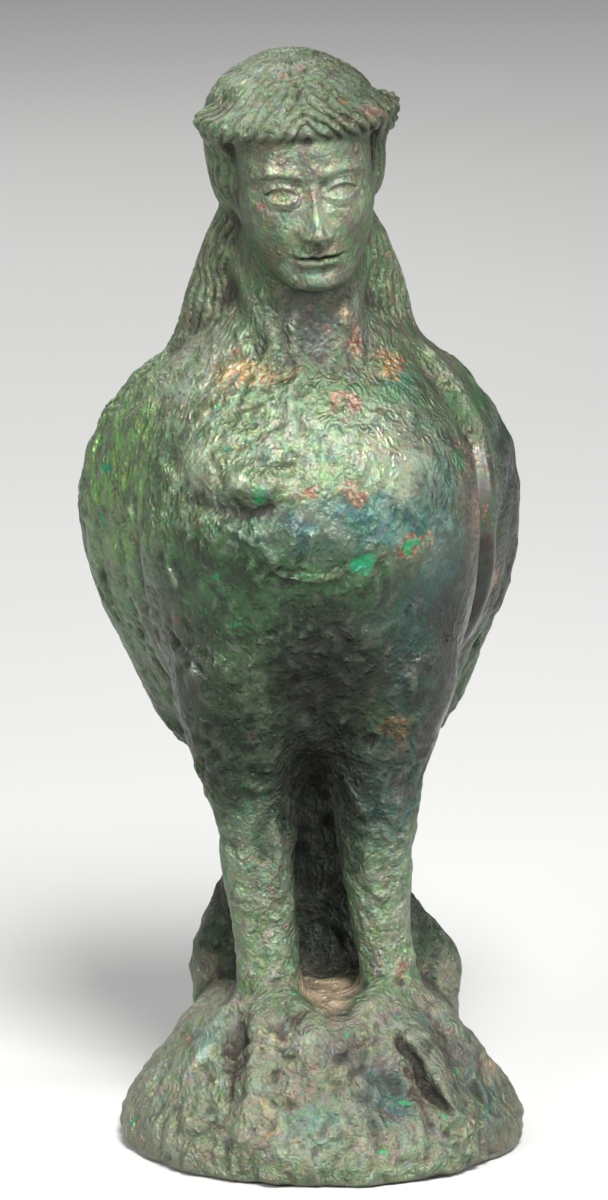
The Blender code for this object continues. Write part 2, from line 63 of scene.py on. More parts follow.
FRINGE_UP = 3.55  # the band of hair over the brow
FRINGE_PITCH = 0.86
SIDE_PITCH = 0.85
STRAND_PITCH = 0.92
COIL_PLACE = (-0.9, 3.1)  # y and z of the coil over the right ear
COIL_PITCH = 0.62

# The grain of the corrosion: how far apart its crinkles, lumps and pits lie
WEB = 1.9
FINE = 1.0
LUMPS = 1.1
PITS = 1.5
BROAD = 4.2
BEND = 3.1  # the length over which the crinkles turn
BEND_REACH = 1.3

# The plain form of the face from hairline to chin, in the head's frame: height, half width, depth from front
# to side, y of the middle
FACE_FORM = (
    (5.4, 4.9, 6.4, -6.1),
    (4.0, 5.4, 6.8, -6.75),
    (2.4, 5.7, 7.1, -7.1),
    (0.8, 5.7, 7.1, -7.2),
    (-0.8, 5.45, 6.8, -7.15),
    (-2.4, 5.1, 6.3, -7.1),
    (-4.0, 4.75, 5.7, -7.1),
    (-5.5, 4.25, 5.1, -7.05),
    (-6.9, 3.5, 4.2, -6.95),
    (-8.1, 2.4, 3.0, -6.6),
    (-9.0, 1.6, 2.2, -5.9),
)
# The nose: height, how far it stands forward, half width
NOSE_FORM = (
    (1.2, 0.0, 0.9),
    (0.4, 0.12, 0.75),
    (-0.4, 0.28, 0.5),
    (-1.2, 0.62, 0.46),
    (-2.2, 1.06, 0.52),
    (-3.0, 1.52, 0.66),
    (-3.6, 1.86, 0.78),
    (-3.95, 1.62, 0.74),
    (-4.25, 0.6, 0.66),
    (-4.55, 0.06, 0.6),
    (-5.0, 0.0, 0.6),
)


# Working on the mesh

def take(obj):
    """Selects this object alone and makes it the active one."""
    bpy.ops.object.select_all(action="DESELECT")
    obj.select_set(True)
    bpy.context.view_layer.objects.active = obj


def shape(obj, kind, **settings):
    """A modifier with these settings, made part of the mesh."""
    take(obj)
    modifier = obj.modifiers.new(kind.lower(), kind)
    for name, value in settings.items():
        setattr(modifier, name, value)
    bpy.ops.object.modifier_apply(modifier=modifier.name)


def places(obj):
    """The mesh's points in millimetres."""
    points = np.empty(3 * len(obj.data.vertices))
    obj.data.vertices.foreach_get("co", points)
    return points.reshape(-1, 3) / MM


def set_places(obj, points):
    obj.data.vertices.foreach_set("co", (points * MM).ravel())
    obj.data.update()


def outward(obj):
    normals = np.empty(3 * len(obj.data.vertices))
    obj.data.vertex_normals.foreach_get("vector", normals)
    return normals.reshape(-1, 3)


def swell(obj, rise):
    """Moves the skin out by a rise at each point."""
    set_places(obj, places(obj) + outward(obj) * rise[:, None])


def evened(obj, points, weight, rounds):
    """Points drawn towards the middle of their neighbours, by a weight."""
    edges = np.empty(2 * len(obj.data.edges), int)
    obj.data.edges.foreach_get("vertices", edges)
    first, second = edges.reshape(-1, 2).T
    ends = np.concatenate((first, second))
    count = np.maximum(np.bincount(ends, minlength=len(points)), 1)
    points = points.copy()
    for _ in range(rounds):
        middle = np.empty_like(points)
        for axis in range(points.shape[1]):
            values = np.concatenate((points[second, axis], points[first, axis]))
            middle[:, axis] = np.bincount(ends, values, len(points)) / count
        points += (middle - points) * weight
    return points


# Frames of the carving

def in_figure(p):
    high = p[:, 2] - MOUND_TOP
    return np.column_stack((p[:, 0] + LEAN * high, p[:, 1], high))


def in_head(p):
    return (in_figure(p) - HEAD_PLACE) @ HEAD_TURN


def out_of_head(q):
    f = q @ HEAD_TURN.T + HEAD_PLACE
    return np.column_stack((f[:, 0] - LEAN * f[:, 2], f[:, 1], f[:, 2] + MOUND_TOP))


# Carving tools

def step(values, low, high):
    """0 below low, 1 above high, smooth between. low may be the greater."""
    t = np.clip((values - low) / (high - low), 0, 1)
    return t * t * (3 - 2 * t)


def ridge(values, middle, width):
    return np.exp(-(((values - middle) / width) ** 2))


def lump(p, centre, sizes):
    return np.exp(-(((p - centre) / sizes) ** 2).sum(axis=1))


def spread(stations, count):
    """count stations drawn smoothly through the given ones, evenly by index."""
    table = np.array(stations, float)
    at = np.linspace(0, len(table) - 1, count)
    low = np.clip(at.astype(int), 0, len(table) - 2)
    t = (at - low)[:, None]
    before, here, there, after = (table[np.clip(low + k, 0, len(table) - 1)] for k in (-1, 0, 1, 2))
    return 0.5 * (
        2 * here
        + (there - before) * t
        + (2 * before - 5 * here + 4 * there - after) * t**2
        + (3 * here - before - 3 * there + after) * t**3
    )


def by_height(stations, heights):
    """The columns of a table of stations at these heights."""
    table = spread(stations, 12 * len(stations))[::-1]
    return [np.interp(heights, table[:, 0], column) for column in table.T[1:]]


def on_front(p, across, up):
    """The point of the skin's front at a place across and up it."""
    nearness = 4  # how much more a millimetre beside the place counts than one behind the front
    return p[np.argmin(nearness * np.hypot(p[:, 0] - across, p[:, 2] - up) + p[:, 1])]


def stroke(p, path, width, taper=0.25):
    """1 along a path on the skin's front through the given places, fading beside it and towards its ends."""
    guide = np.array([on_front(p, across, up) for across, up in spread(path, 6 * len(path))])
    guide[1:-1] = (guide[:-2] + 2 * guide[1:-1] + guide[2:]) / 4
    reach = 2.6 * width
    near = np.all((p > guide.min(axis=0) - reach) & (p < guide.max(axis=0) + reach), axis=1)
    q = p[near]
    distance = np.full(len(q), 1e9)
    share = np.zeros(len(q))
    for k in range(len(guide) - 1):
        run = guide[k + 1] - guide[k]
        t = np.clip((q - guide[k]) @ run / max(run @ run, 1e-6), 0, 1)
        d = np.linalg.norm(q - guide[k] - t[:, None] * run, axis=1)
        closer = d < distance
        distance[closer] = d[closer]
        share[closer] = ((k + t) / (len(guide) - 1))[closer]
    mark = np.zeros(len(p))
    mark[near] = np.exp(-((distance / width) ** 2)) * step(np.minimum(share, 1 - share), 0, taper)
    return mark


def locks(values, pitch):
    """Rounded strands with narrow grooves between them, from -1 in a groove to 0 on a strand."""
    return np.abs(np.cos(math.pi * values / pitch)) ** 0.7 - 1


def grain(p, size, seed=0.0):
    """Smooth unevenness from about -1 to 1, its lumps about a size across."""
    return np.array([noise.noise(q) for q in (p / size + seed).tolist()])


def wrinkles(p, size, seed=0.0):
    """Sharp branching ridges, 0 to about 1."""
    made = [noise.ridged_multi_fractal(q, 0.9, 2.1, 4, 1.0, 2.0) for q in (p / size + seed).tolist()]
    return np.clip(np.array(made) / 2.2, 0, 1.2)


def pits(p, size, seed=0.0):
    """1 in the middle of scattered pits, 0 between them."""
    near = np.array([noise.voronoi(q)[0][0] for q in (p / size + seed).tolist()])
    return step(near, 0.42, 0.12)


# The casting

def casting():
    """The solid's skin, its facets rounded and its grain made fine enough to carve."""
    skin = bpy.data.objects.new("bronze_siren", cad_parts["siren_statuette"].data.copy())
    skin.data.name = "bronze_siren"
    skin.data.materials.clear()
    bpy.context.scene.collection.objects.link(skin)
    take(skin)
    bpy.ops.object.mode_set(mode="EDIT")
    bpy.ops.mesh.select_all(action="SELECT")
    bpy.ops.mesh.remove_doubles(threshold=0.001 * MM)
    bpy.ops.mesh.normals_make_consistent(inside=False)
    bpy.ops.object.mode_set(mode="OBJECT")
    shape(skin, "SUBSURF", levels=2, render_levels=2)
    shape(skin, "REMESH", mode="VOXEL", voxel_size=GRAIN * MM)
    return skin


def refine_head(skin):
    """Halves the grain of the head."""
    points = places(skin)
    near = np.linalg.norm(in_head(points), axis=1) < HEAD_REACH
    near &= in_head(points)[:, 2] > -9.6
    take(skin)
    skin.data.vertices.foreach_set("select", np.zeros(len(points), bool))
    skin.data.edges.foreach_set("select", np.zeros(len(skin.data.edges), bool))
    chosen = [all(near[v] for v in face.vertices) for face in skin.data.polygons]
    skin.data.polygons.foreach_set("select", np.array(chosen))
    bpy.ops.object.mode_set(mode="EDIT")
    bpy.ops.mesh.select_mode(type="FACE")
    bpy.ops.mesh.subdivide(number_cuts=1, smoothness=0)
    bpy.ops.object.mode_set(mode="OBJECT")


def face_front(x, z):
    """The y of the face's front at each place across and up it."""
    half, deep, front = by_height(FACE_FORM, z)
    side = np.clip(np.abs(x) / half, 0, 0.995)
    y = front + deep * (1 - (1 - side**2.15) ** (1 / 2.15))
    ax = np.abs(x)
    q = np.column_stack((ax, z))

    def at(centre, sizes):
        return lump(q, centre, sizes)

    # Eye sockets, brow, eyelids and eyeballs
    rise = -0.70 * at((2.2, -0.75), (1.5, 0.8)) - 0.30 * at((0.95, -0.75), (0.55, 0.8))
    brow = 0.12 + 0.46 * (1 - ((ax - 2.5) / 2.2) ** 2)
    rise += 0.26 * ridge(z, brow, 0.34) * step(ax, 0.5, 1.3) * step(ax, 4.6, 3.8)
    across = (ax - EYE_ACROSS) / EYE_HALF
    inside = np.clip(1 - across**2, 0, 1)
    upper, lower = -1.0 + 0.52 * inside**0.8, -1.0 - 0.36 * inside**0.8
    ball = np.clip(1 - ((ax - EYE_ACROSS) / 1.55) ** 2 - ((z + 0.95) / 1.15) ** 2, 0, 1)
    rise += 0.66 * ball**0.8
    ends = step(np.abs(across), 1.12, 0.92)
    rise += 0.16 * ridge(z, upper + 0.12, 0.13) * ends + 0.12 * ridge(z, lower - 0.10, 0.12) * ends
    rise -= 0.12 * ridge(z, upper + 0.42, 0.11) * ends
    rise -= 0.10 * step(upper - z, 0, 0.08) * step(z - lower, 0, 0.08) * (np.abs(across) < 1)
    # Cheeks, nose and nostrils
    rise += 0.30 * at((3.3, -2.9), (1.5, 1.3)) - 0.16 * at((3.0, -5.2), (0.9, 1.3))
    ahead, wide = by_height(NOSE_FORM, z)
    rise += ahead * np.exp(-((ax / wide) ** 2.3))
    rise += 0.66 * at((0.90, -3.78), (0.40, 0.40)) - 0.30 * at((0.46, -4.22), (0.2, 0.14))
    rise -= 0.14 * ridge(ax, 1.42 + 0.35 * (-3.7 - z), 0.22) * step(z, -3.4, -3.9) * step(z, -5.4, -4.6)
    # Mouth and chin
    rise += 0.34 * at((0, -5.35), (1.9, 1.15))
    rise -= 0.10 * ridge(ax, 0, 0.17) * step(z, -4.25, -4.5) * step(z, -5.05, -4.85)
    mouth = MOUTH_UP + 0.05 * ridge(ax, 0.42, 0.3) - 0.05 * ridge(ax, 0, 0.25)
    full = np.clip(1 - (ax / MOUTH_HALF) ** 2, 0, 1) ** 0.6
    bow = 0.28 + 0.06 * ridge(ax, 0.42, 0.3)
    rise += 0.32 * full * ridge(z, mouth + bow, 0.24) + 0.38 * full * ridge(z, mouth - 0.36, 0.30)
    rise -= 0.40 * step(ax, 1.75, 1.45) * ridge(z, mouth, 0.085) + 0.16 * at((1.72, MOUTH_UP), (0.2, 0.2))
    rise -= 0.26 * at((0, -6.5), (1.1, 0.26))
    rise += 0.42 * at((0, -7.45), (1.2, 0.75))
    return y - rise


def carve_face(skin):
    """Sets the front of the face to its own fine form, blended into the casting round it."""
    points = places(skin)
    q = in_head(points)
    x, y, z = q.T
    hairline = 3.1 - 0.035 * x * x
    half = by_height(FACE_FORM, z)[0]
    weight = step(np.abs(x) / half, 0.90, 0.72) * step(z, hairline, hairline - 0.7) * step(z, -8.5, -7.6)
    weight *= step(y, -2.0, -3.4)
    on = weight > 0
    y[on] += (face_front(x[on], z[on]) - y[on]) * weight[on]
    set_places(skin, np.where(on[:, None], out_of_head(np.column_stack((x, y, z))), points))
    return weight


def carve_hair(q):
    """Rise of the locks, combed from a middle parting round the head, hanging at the sides."""
    x, y, z = q.T
    ax = np.abs(x)
    around = np.arctan2(x, -(y - 0.8))
    bend = 0.16 * np.sin(1.3 * z + 0.8 * x) + 0.08 * np.sin(2.9 * x)
    combed = 6.2 * np.abs(around) + 0.75 * z + bend
    above = np.maximum(step(z, 4.4, 5.0), step(np.hypot(x, y), 5.2, 5.8)) * step(z, 2.2, 2.9)
    low = step(z, 6.6, 5.2)
    left_front = step(-x, 0, 2.5) * step(y, 0, -1)
    rise = 0.36 * above * (0.35 + 0.65 * low) * locks(combed, FRINGE_PITCH) * (1 - 0.5 * left_front)
    rise -= 0.16 * ridge(x, -0.15, 0.3) * step(z, 4.0, 5.0) * step(y, 1.5, 0.2)
    rise += 0.30 * ridge(z, FRINGE_UP, 0.5) * step(y, 1.0, -1.0) * step(np.hypot(x, y), 5.4, 6.2)
    back, up = y - COIL_PLACE[0], z - COIL_PLACE[1]
    coil = np.hypot(back, up)
    turn = np.arctan2(up, back) / math.tau
    rise += 0.24 * step(x, 5.3, 6.0) * step(coil, 2.4, 1.9) * locks(coil + COIL_PITCH * turn, COIL_PITCH)
    rise -= 0.5 * ridge(ax, 5.25, 0.42) * step(z, 2.8, 1.8) * step(z, -4.5, -3.0) * step(y, -2.4, -3.2)
    sides = step(z, 2.2, 1.2) * step(z, -6.8, -5.4) * step(ax, 4.6, 5.3) * step(y, -3.6, -2.6)
    rise += 0.26 * sides * locks(y + 0.3 * np.sin(1.5 * z + x), SIDE_PITCH)
    return rise


def carve_mane(f):
    """Rise of the wavy strands of the hair behind the neck."""
    x, y, z = f.T
    outside = np.maximum(step(np.abs(x + 0.4), 4.4, 5.2) * step(y, -2.2, -1.2), step(y, 5.6, 7.0))
    zone = outside * step(z, 38.5, 40.5) * step(z, 58.0, 56.0)
    zone *= 1 - step(z, 49.0, 47.5) * step(y, 5.0, 3.0)
    wave = np.abs(x + 0.4) - 0.6 * np.abs(y - 4) + 0.35 * np.sin(1.15 * z + x) + 0.12 * np.sin(2.7 * z)
    return 0.22 * zone * locks(wave, STRAND_PITCH) + 0.08 * zone * locks(wave + 0.2, STRAND_PITCH / 2)


# Folds and edges: height (below 0 for a groove), width, then the path across and up the figure's front
FOLDS = (
    (-0.14, 0.28, ((-9.5, 39), (-6, 38.5), (-5, 37.5), (-4, 38), (-3, 38.5), (-1, 39))),
    (0.30, 0.24, (
        (-9.5, 38.5), (-7, 37), (-5, 36), (-3.5, 35), (-3, 33.5), (-0.5, 33), (1.5, 33.5), (2.5, 34.5),
    )),
    (-0.16, 0.24, ((-9, 42), (-7, 42), (-5.5, 42), (-3.5, 43), (-1, 44))),
    (-0.08, 0.26, ((-11, 42.5), (-12.5, 40), (-13, 35.5), (-13.5, 33.5), (-12.5, 29))),
    (-0.20, 0.24, ((-7.5, 42), (-7, 40.5), (-6.5, 39))),
    (0.20, 0.24, ((-4.5, 41.5), (-3.5, 40.5), (-2.5, 39.5))),
    (-0.09, 0.40, ((-2.5, 51), (-2, 49.5), (-1.5, 48), (-0.5, 46))),
    (-0.08, 0.40, ((2, 51), (1.5, 48.5), (0.5, 47))),
    (0.26, 0.34, ((-0.5, 51), (-1, 49.5), (-1, 47.5))),
    (-0.14, 0.28, ((4, 34.5), (4.5, 33), (4.5, 31), (3.5, 30))),
    (-0.28, 0.32, ((-6, -1), (-7, -3), (-7.5, -6.5))),
    (-0.34, 0.42, ((4, -1), (6, -3.5), (7.5, -6.5))),
    (0.36, 0.30, ((5, -1), (6.5, -3), (8.5, -6.5), (9.5, -7.5))),
    (-0.08, 0.26, ((-4.5, 14.5), (-4.5, 11.5), (-4, 9))),
    (0.24, 0.32, ((-3.5, 13.5), (-3, 11.5), (-3.5, 9.5))),
)


# Small knobs of earth and corrosion: between the claws, then at the mound's right edge
CLAW_KNOBS = ((-0.8, -8.4, -1.6), (0.8, -8.6, -2.0), (1.9, -8.2, -1.4), (0.4, -9.8, -3.4), (-1.6, -9.4, -2.6))
EDGE_KNOBS = ((12.4, -4.0, -4.2), (12.8, -4.6, -6.0))


def carve_body(f):
    """Rise of the folds, creases and lumps from breast to toes."""
    rise = sum(height * stroke(f, path, width) for height, width, path in FOLDS)
    rise += 0.60 * lump(f, (-4.2, -11.2, 40.0), (2.0, 2.0, 1.1))
    rise -= 0.55 * lump(f, (0.9, -5.4, -0.4), (1.0, 1.2, 0.8))
    for place in CLAW_KNOBS:
        rise += 0.50 * lump(f, place, (0.7, 0.7, 0.6))
    for place in EDGE_KNOBS:
        rise += 0.30 * lump(f, place, (0.6, 0.9, 0.5))
    rise -= 0.45 * lump(f, (4.2, -11.2, -5.0), (2.6, 2.0, 2.0))
    return rise


def corrode(skin, kept):
    """The crust of the old surface: wrinkled on the breast, lumpy on belly and legs, granular below."""
    p = places(skin)
    f = in_figure(p)
    x, y, z = f.T
    side = step(x, 6.5, 9.5) * step(z, 12.0, 18.0) * step(z, 50.0, 46.0) * step(y, 7.0, 2.0)
    breast = step(z, 31.0, 34.0) * step(z, 51.0, 47.0) * (1 - side)
    belly = step(z, 33.0, 29.0) * step(z, 14.0, 18.0) * (1 - side)
    legs = step(z, 19.0, 15.0) * step(z, 0.0, 1.5)
    mound = step(z, 1.2, -0.4)
    head = step(z, 50.0, 54.0)
    left = step(x, 3.0, -3.0)
    flow = np.column_stack([grain(p, BEND, seed) for seed in (9.0, 31.0, 57.0)])
    warped = p * (1, 1, 0.7) + BEND_REACH * flow
    web = wrinkles(warped, WEB, 3.0)
    fine = wrinkles(warped, FINE, 9.0)
    lumps = grain(warped, LUMPS, 5.0)
    hole = pits(warped, PITS, 7.0) * step(grain(p, 3.0, 15.0), 0.0, 0.25)
    broad = grain(p, BROAD, 1.0)
    crinkled = step(grain(p, 5.0, 21.0) + 0.3 * left, -0.1, 0.35) * step(x, 6.0, 0.0)
    rise = breast * (0.08 + 0.16 * left + 0.16 * crinkled) * (web - 0.45)
    rise += breast * (0.06 + 0.16 * crinkled) * (fine - 0.4) + 0.12 * breast * broad
    rise += belly * (0.17 * lumps + 0.16 * (fine - 0.4) + 0.12 * broad)
    rise += legs * (0.20 * lumps + 0.20 * (web - 0.4) + 0.16 * (fine - 0.4))
    rise += mound * (0.18 * lumps + 0.20 * (fine - 0.4) + 0.12 * (web - 0.4) + 0.30 * broad)
    rise += head * (0.05 * (fine - 0.4) + 0.04 * lumps) + 0.16 * head * step(z, 64.5, 66.5) * (fine - 0.4)
    rise -= 0.26 * hole * (belly + 0.7 * legs + 0.4 * mound + 0.2 * breast)
    crust = step(z, -5.6, -7.4) * step(y, -4.0, -9.0)
    rise += crust * (0.10 * (fine - 0.35) + 0.16 * lumps)
    rise *= (1 - 0.75 * kept) * step(p[:, 2], 0.05, 0.7)
    swell(skin, rise)


def hollows(skin):
    """How deep each point lies below its surroundings, near (fine) and far (broad), about -1 to 1."""
    points = places(skin)
    normals = outward(skin)
    near = evened(skin, points, 0.5, 6)
    far = evened(skin, near, 0.6, 60)
    q = in_head(points)
    calm = step(np.abs(q[:, 0]), 5.2, 4.4) * step(q[:, 1], -2.0, -3.5)
    calm *= step(q[:, 2], 3.4, 2.6) * step(q[:, 2], -8.6, -7.8)
    # Name, surroundings, the depth in millimetres that counts as 1, the least share of it kept on the face
    for name, middle, unit, least in (("fine_hollow", near, 0.06, 0.5), ("broad_hollow", far, 0.26, 0.3)):
        depth = ((middle - points) * normals).sum(axis=1) / unit * (1 - (1 - least) * calm)
        layer = skin.data.attributes.new(name, "FLOAT", "POINT")
        layer.data.foreach_set("value", np.clip(depth, -1, 1).astype(np.float32))


def carve(skin):
    set_places(skin, evened(skin, places(skin), 0.5, 8))
    refine_head(skin)
    points = places(skin)
    q = in_head(points)
    on_head = step(q[:, 2], -9.5, -8.0) * step(np.linalg.norm(q, axis=1), 11.5, 10.0)
    knobs = np.maximum(lump(q, (-6.4, -0.9, 3.3), (1.6, 2, 2)), lump(q, (6.5, -0.9, 3.1), (1.8, 2, 2.6)))
    set_places(skin, evened(skin, points, (0.6 * on_head * (1 - knobs))[:, None], 26))
    kept = carve_face(skin)
    points = places(skin)
    f, q = in_figure(points), in_head(points)
    swell(skin, carve_body(f) + carve_mane(f) + carve_hair(q) * (1 - kept))
    corrode(skin, kept)
    points = places(skin)
    points[:, 2] = np.maximum(points[:, 2], LEVEL_UNDERSIDE)
    set_places(skin, points)


def thin_out(skin):
    triangles = sum(len(face.vertices) - 2 for face in skin.data.polygons)
    print("carved skin:", triangles, "triangles")
    if triangles > MOST_TRIANGLES:
        shape(skin, "DECIMATE", ratio=MOST_TRIANGLES / triangles, use_collapse_triangulate=True)


# Surface

class Field:
    """A socket of a material, with arithmetic that adds the nodes."""

    def __init__(self, paint, socket):
        self.paint = paint
        self.socket = socket

    def maths(self, operation, *others):
        values = dict(enumerate((self, *others)))
        return self.paint.node("Math", values, operation=operation)

    def __add__(self, other):
        return self.maths("ADD", other)

    def __mul__(self, other):
        return self.maths("MULTIPLY", other)

    def __sub__(self, other):
        return self.maths("SUBTRACT", other)

    def __rsub__(self, other):
        return self.paint.node("Math", {0: other, 1: self}, operation="SUBTRACT")

    __radd__ = __add__
    __rmul__ = __mul__

    def most(self, other):
        return self.maths("MAXIMUM", other)

    def between(self, low, high):
        """0 below low, 1 above high, smooth between. low may be the greater."""
        flipped = low > high
        ends = {1: min(low, high), 2: max(low, high), 3: 1.0 if flipped else 0.0, 4: 0.0 if flipped else 1.0}
        return self.paint.node("MapRange", {0: self, **ends}, interpolation_type="SMOOTHSTEP")


class Paint:
    """A material and the nodes put into it."""

    def __init__(self, name):
        self.material = bpy.data.materials.new(name)
        self.material.use_nodes = True
        self.tree = self.material.node_tree
        self.shader = self.tree.nodes["Principled BSDF"]

    def node(self, kind, inputs, output=0, **settings):
        """A node of a type with its settings and its inputs: links or values by name or number."""
        made = self.tree.nodes.new("ShaderNode" + kind)
        for name, value in settings.items():
            setattr(made, name, value)
        for key, value in inputs.items():
            if isinstance(value, Field):
                self.tree.links.new(value.socket, made.inputs[key])
            else:
                made.inputs[key].default_value = value
        return Field(self, made.outputs[output])

    def vector(self, operation, first, second, output=0):
        return self.node("VectorMath", {0: first, 1: second}, output, operation=operation)

    def scaled(self, vector, factor):
        return self.node("VectorMath", {0: vector, "Scale": factor}, operation="SCALE")

    def noise(self, place, size, detail=3.0, rough=0.55, output=0):
        """Cloudy noise round 0.5 with lumps about a size in millimetres."""
        made = {"Vector": place, "Scale": 1 / size, "Detail": detail, "Roughness": rough}
        return self.node("TexNoise", made, output)

    def cells(self, place, size):
        """How near the middle of a cell is, the cells about a size across."""
        return self.node("TexVoronoi", {"Vector": place, "Scale": 1 / size}, "Distance")

    def crinkle(self, place, size, detail=4.0):
        """Sharp branching ridges a size in millimetres apart, from 0 to about 1."""
        made = {"Vector": place, "Scale": 1 / size, "Detail": detail, "Roughness": 0.6}
        return self.node("TexNoise", made, noise_type="RIDGED_MULTIFRACTAL", normalize=True)

    def mix(self, factor, first, second):
        """One colour or the other, by a factor."""
        return self.node("Mix", {0: factor, 6: first, 7: second}, 2, data_type="RGBA")

    def attribute(self, name):
        return self.node("Attribute", {}, "Fac", attribute_name=name)

    def patch(self, place, centre, sizes, soft=0.35):
        """1 inside an egg-shaped patch, 0 outside it."""
        away = self.vector("SUBTRACT", place, centre)
        scaled = self.vector("DIVIDE", away, sizes)
        reach = self.node("VectorMath", {0: scaled}, "Value", operation="LENGTH")
        return reach.between(1 + soft, 1 - soft)

    def patches(self, place, spots, soft=0.35):
        whole = None
        for centre, sizes in spots:
            one = self.patch(place, centre, sizes, soft)
            whole = one if whole is None else whole.most(one)
        return whole

    def feed(self, name, value):
        if isinstance(value, Field):
            self.tree.links.new(value.socket, self.shader.inputs[name])
        else:
            self.shader.inputs[name].default_value = value


def rgb(red, green, blue):
    return (red, green, blue, 1.0)


PALE = rgb(0.33, 0.38, 0.27)
CELADON = rgb(0.22, 0.29, 0.155)
LIME = rgb(0.15, 0.34, 0.065)
SAGE = rgb(0.115, 0.155, 0.085)
OLIVE = rgb(0.135, 0.130, 0.075)
MALACHITE = rgb(0.045, 0.138, 0.042)
DEEP_GREEN = rgb(0.020, 0.048, 0.026)
EMERALD = rgb(0.015, 0.34, 0.15)
TEAL = rgb(0.020, 0.105, 0.095)
SKY_TEAL = rgb(0.09, 0.22, 0.20)
SLATE = rgb(0.095, 0.115, 0.110)
PLUM = rgb(0.105, 0.070, 0.062)
UMBER = rgb(0.042, 0.038, 0.028)
MAROON = rgb(0.075, 0.036, 0.028)
LILAC = rgb(0.085, 0.078, 0.078)
CUPRITE = rgb(0.25, 0.085, 0.062)
OCHRE = rgb(0.31, 0.17, 0.05)
EARTH = rgb(0.46, 0.35, 0.22)
TAN = rgb(0.60, 0.46, 0.31)
STONE = rgb(0.25, 0.245, 0.175)

# The smooth worn skin of the right flank: middles and sizes of its patches
SMOOTH_SKIN = (
    ((11.5, -1.5, 47), (1.7, 3.5, 5)),
    ((11.5, 0, 39), (2.0, 5, 7)),
    ((9, 1, 31), (2.0, 6, 6)),
    ((14, 1, 50), (1.6, 4, 5)),
)

# The skin half worn smooth: right of the breast, the hollow between the toes, the face
WORN_SKIN = (
    ((6.5, -8, 52), (4, 4, 4.5)),
    ((7, -8, 44), (4, 4, 6)),
    ((3.5, -11, 6), (2.4, 2.6, 2.4)),
    ((-1, -8, 69), (5, 4, 6)),
)

# Fields of the patina and of some painted highlight, laid one over another: two colours, cover, soft edge,
# then middles and sizes
FIELDS = (
    (CELADON, MALACHITE, 0.80, 0.6, (
        ((-14, 2, 49), (5, 8, 11)), ((-9, 1, 68), (3.5, 7, 9)), ((-5, -6, 33), (3, 4, 6)),
    )),
    (SAGE, OLIVE, 0.75, 0.5, (
        ((0, -3, 73), (9, 10, 9)), ((1, -4, 60), (6, 4, 4)), ((-9, -3, 57), (6, 5, 3)),
    )),
    (OLIVE, STONE, 0.70, 0.5, (((8, 2, 61), (4, 7, 7)), ((-8, 2, 61), (3, 7, 7)))),
    (LIME, CELADON, 0.80, 0.5, (((-15, 2, 50), (3.5, 7, 9)),)),
    # Pale on the left shoulder, upper breast and crown: partly cream patina, partly painted highlight where
    # the light falls from above
    (PALE, CELADON, 0.90, 0.6, (
        ((-8, -3, 56), (5, 4, 3.5)), ((-4, -9, 52), (8, 4, 4.5)), ((-3, -3, 77), (4, 5, 3.5)),
    )),
    # Pale on the face and chin: partly pale patina, partly painted light brightening the face that the lamps
    # light little
    (PALE, STONE, 0.85, 0.6, (((-1.5, -9, 71), (5, 4, 4)), ((-1, -9, 64), (3, 3, 2)))),
    # Pale on the right of the breast and by the right flank: partly pale patina, partly painted highlight
    (PALE, STONE, 0.70, 0.5, (((5.0, -8.5, 53), (4.5, 3, 3.5)), ((9.4, -5, 48), (1.2, 2, 2.6)))),
    (SLATE, SKY_TEAL, 0.80, 0.5, (((-2.5, -11.5, 47.5), (5.5, 3, 1.9)),)),
    (SKY_TEAL, TEAL, 0.80, 0.4, (
        ((4, -11, 48), (4.5, 3, 2.2)), ((7.6, -8, 46), (1.6, 4, 6)), ((7, -7, 57.5), (3, 4, 1.8)),
    )),
    (MALACHITE, DEEP_GREEN, 0.75, 0.5, (
        ((-6, -10, 43), (8, 5, 5)), ((1, -11, 42), (6, 4, 2.6)), ((-6.5, -6, 31), (3, 4, 4)),
    )),
    (TEAL, SLATE, 0.80, 0.5, (((6.5, -7, 38), (3.6, 5, 7)), ((4.8, -5, 27), (2.6, 4, 5)))),
    (PLUM, SLATE, 0.70, 0.5, (((-11.5, -3, 36), (3.5, 5, 7)), ((0.4, -5, 61), (4.5, 4, 3.5)))),
    (UMBER, DEEP_GREEN, 0.85, 0.5, (
        ((-0.5, -8, 38), (3.6, 5, 5)), ((-0.4, -3, 29), (3.2, 8, 8)), ((0, 9, 20), (13, 6, 12)),
    )),
    (SKY_TEAL, SAGE, 0.50, 0.5, (((-5.6, -4, 22), (2.6, 3, 5)), ((5.6, -4, 20), (2.0, 3, 5)))),
    (CELADON, PALE, 0.80, 0.5, (((-5, -3, 18), (3, 4, 7)), ((5, -3, 17), (3, 4, 6)))),
    (DEEP_GREEN, PLUM, 0.90, 0.3, (((15.5, 6, 40), (2.8, 7, 12)),)),
    (MAROON, UMBER, 0.90, 0.4, (((8.4, -4, 38), (1.8, 3, 3)), ((7.6, -4, 31), (1.2, 3, 3)))),
    # Lilac grey on the smooth right flank: partly polished cuprite, partly painted reflection of the light
    # along the flank
    (LILAC, PLUM, 0.90, 0.3, SMOOTH_SKIN),
    (SLATE, TEAL, 0.60, 0.4, (((14.5, 1, 50), (2, 5, 6)),)),
    (SKY_TEAL, TEAL, 0.80, 0.4, (((8.3, -6.5, 48), (0.8, 3, 5)),)),
    (MAROON, UMBER, 0.90, 0.4, (((9.8, -4, 46.5), (1.0, 3, 4.5)),)),
)
